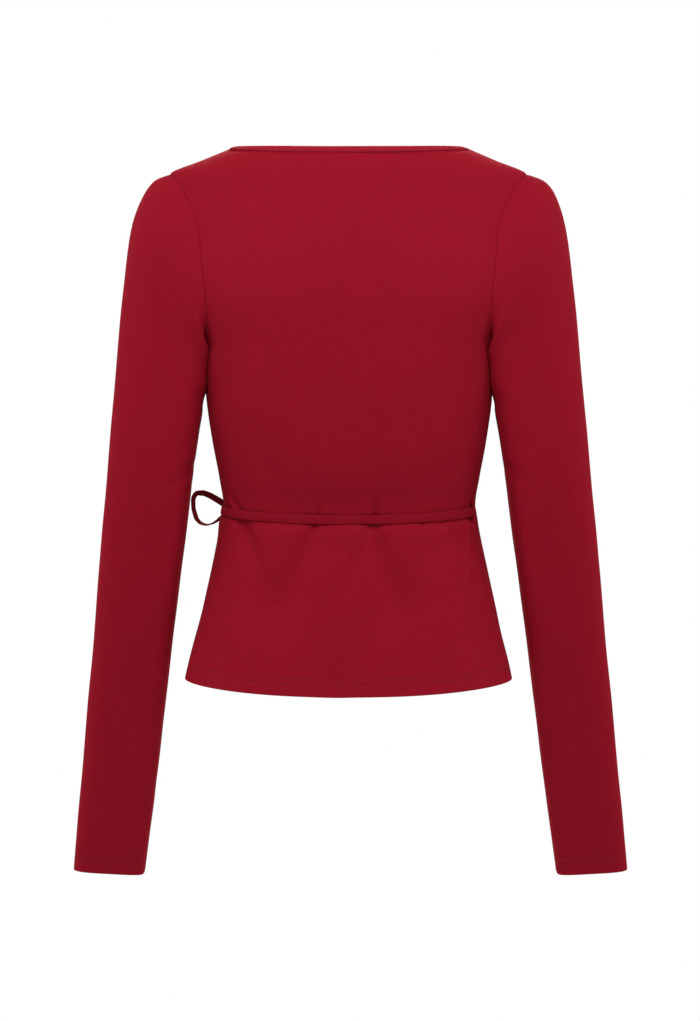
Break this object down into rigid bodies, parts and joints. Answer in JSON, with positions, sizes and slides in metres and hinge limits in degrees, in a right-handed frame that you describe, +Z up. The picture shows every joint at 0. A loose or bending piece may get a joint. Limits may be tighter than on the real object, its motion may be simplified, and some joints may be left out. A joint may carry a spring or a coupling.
{
  "type": "long-sleeved wrap top, filled out as worn",
  "caption": "Fitted long-sleeved jersey wrap top with a wide neckline, a flared hem and a narrow tie round the waist, shaped as it is worn.",
  "frame": {"origin": "middle of the shoulder line, level with the sides of the neck, where the wearer's shoulders hold the top", "axes": "+Z up along the wearer's body, -Y to the wearer's front, +X to the wearer's left"},
  "size_m": [0.5188, 0.2212, 0.6813],
  "materials": {
    "jersey": "fine deep red knitted jersey, matt with a faint soft sheen",
    "binding": "the same deep red jersey, folded over the neckline edge",
    "tie": "the same deep red jersey, sewn as a flat narrow tube"
  },
  "bodies": {
    "root": {"back_panel": "jersey", "front_outer": "jersey", "front_inner": "jersey", "sleeve_left": "jersey", "sleeve_right": "jersey", "neck_binding": "binding", "tie_long": "tie", "tie_short": "tie", "bow_knot": "tie", "bow_loop_out": "tie", "bow_loop_flat": "tie", "bow_tail_rear": "tie", "bow_tail_front": "tie"}
  },
  "joints": []
}
